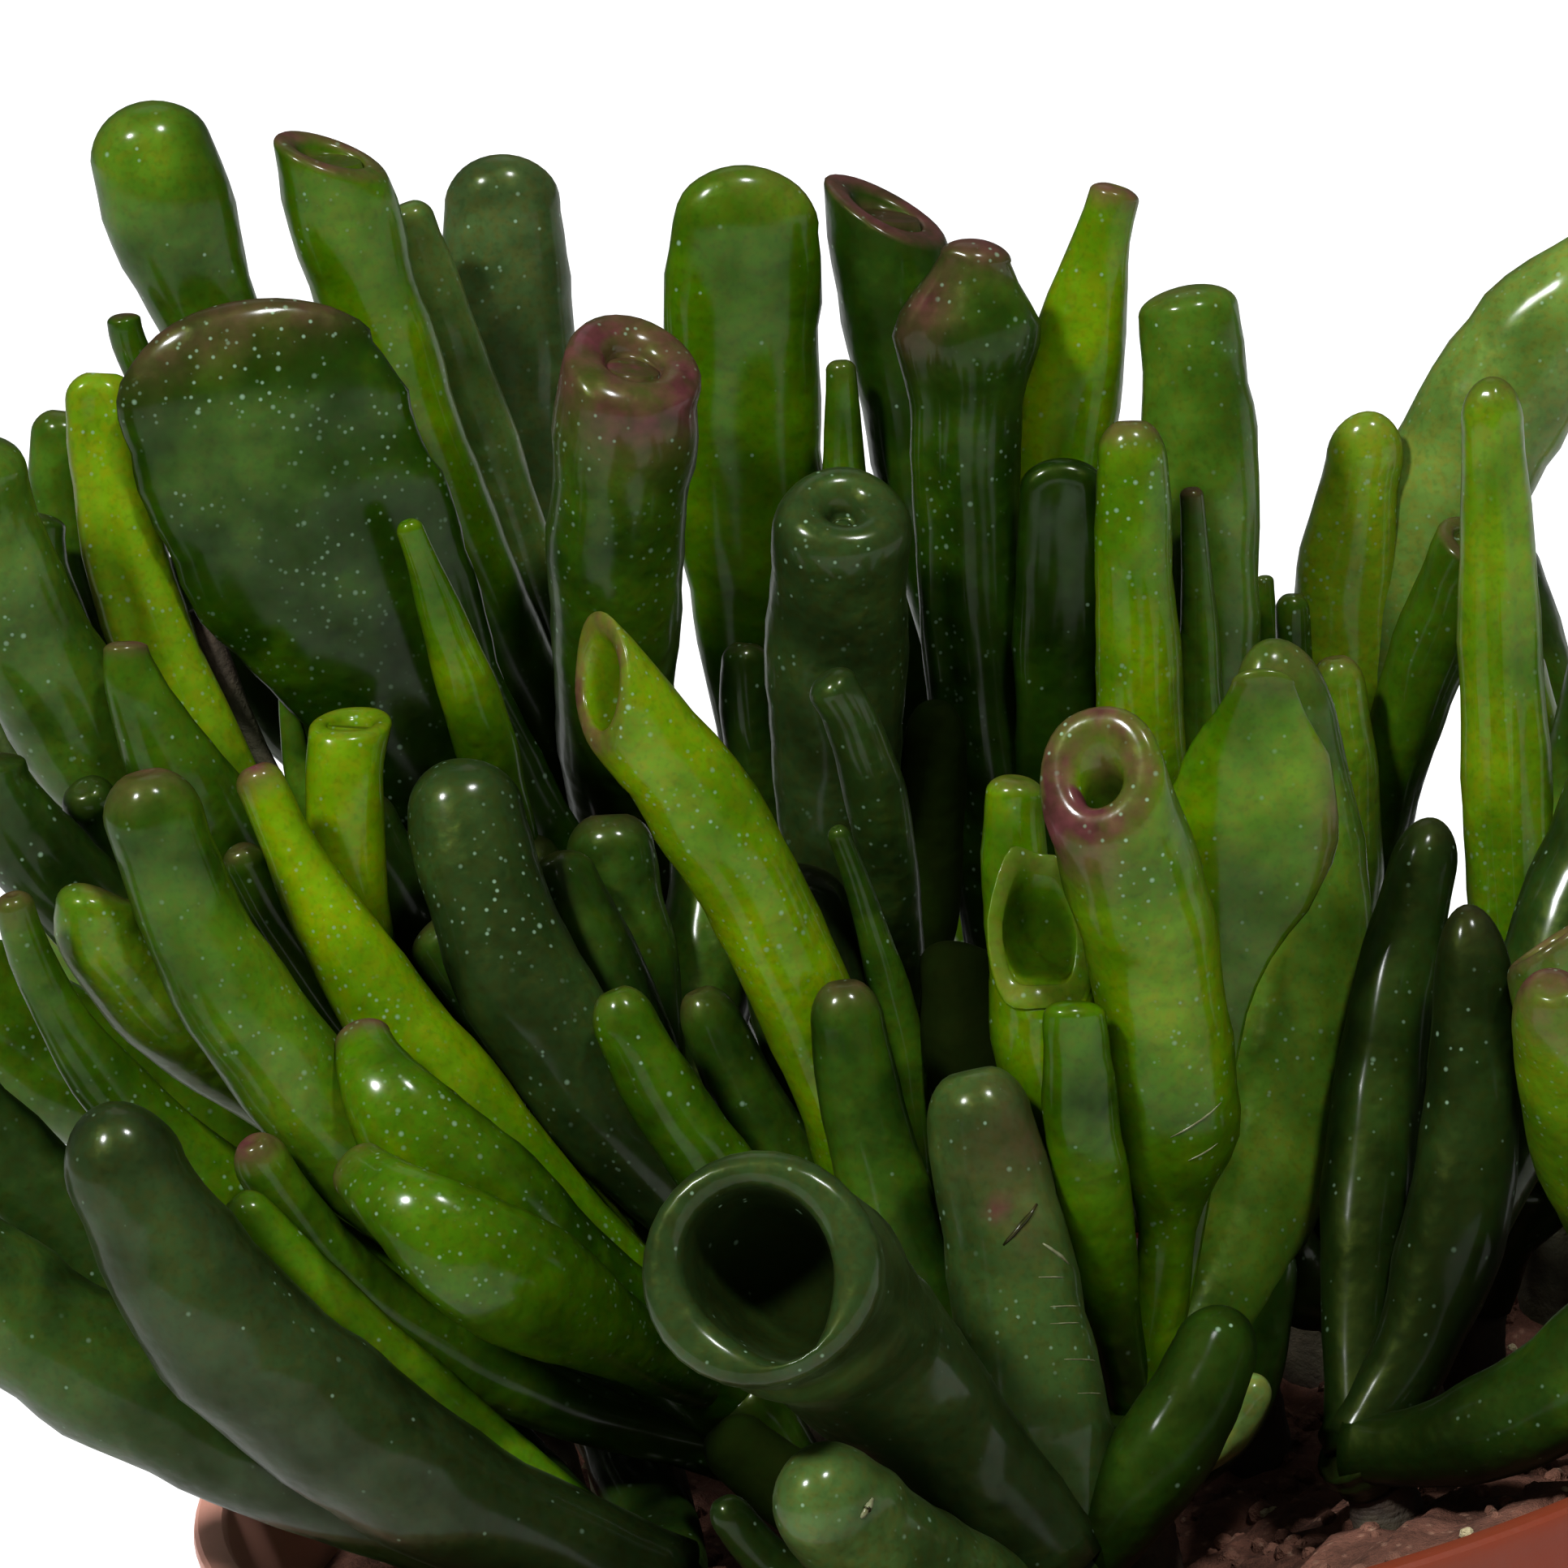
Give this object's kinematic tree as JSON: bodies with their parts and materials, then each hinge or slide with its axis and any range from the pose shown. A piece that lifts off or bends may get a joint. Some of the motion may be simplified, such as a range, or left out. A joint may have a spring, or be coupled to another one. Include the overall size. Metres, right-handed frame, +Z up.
{
  "type": "potted trumpet jade succulent",
  "caption": "Potted succulent: short woody stems in soil carry crowded upright tubular leaves that end in dished, cupped, clubbed and pointed tips, in a plain round nursery pot.",
  "frame": {"origin": "centre of the pot's base, on the surface that it stands on", "axes": "+Z up through the middle of the pot's rim, -Y towards the front view, +X to the right of the front view"},
  "size_m": [0.1319, 0.1137, 0.1751],
  "materials": {
    "pot_plastic": "matte",
    "soil": "rough",
    "stem_bark": "rough",
    "leaf_green": "glossy"
  },
  "bodies": {
    "root": {"dry_twig": "stem_bark", "pot": "pot_plastic", "shoot_back": "leaf_green", "shoot_back_left": "leaf_green", "shoot_back_middle": "leaf_green", "shoot_bright": "leaf_green", "shoot_centre": "leaf_green", "shoot_far_right_back": "leaf_green", "shoot_front": "leaf_green", "shoot_inner_left": "leaf_green", "shoot_inner_right": "leaf_green", "shoot_left": "leaf_green", "shoot_left_back": "leaf_green", "shoot_left_front": "leaf_green", "shoot_left_middle": "leaf_green", "shoot_middle": "leaf_green", "shoot_right": "leaf_green", "shoot_right_back": "leaf_green", "shoot_right_front": "leaf_green", "shoot_side_back": "leaf_green", "shoot_side_back_left": "leaf_green", "shoot_side_back_right": "leaf_green", "shoot_side_front_right": "leaf_green", "shoot_side_left": "leaf_green", "shoot_side_right": "leaf_green", "soil": "soil", "stem_back": "stem_bark", "stem_back_left": "stem_bark", "stem_back_middle": "stem_bark", "stem_bright": "stem_bark", "stem_centre": "stem_bark", "stem_far_right_back": "stem_bark", "stem_front": "stem_bark", "stem_inner_left": "stem_bark", "stem_inner_right": "stem_bark", "stem_left": "stem_bark", "stem_left_back": "stem_bark", "stem_left_front": "stem_bark", "stem_left_middle": "stem_bark", "stem_middle": "stem_bark", "stem_right": "stem_bark", "stem_right_back": "stem_bark", "stem_right_front": "stem_bark", "stem_side_back": "stem_bark", "stem_side_back_left": "stem_bark", "stem_side_back_right": "stem_bark", "stem_side_front_right": "stem_bark", "stem_side_left": "stem_bark", "stem_side_right": "stem_bark"}
  },
  "joints": []
}
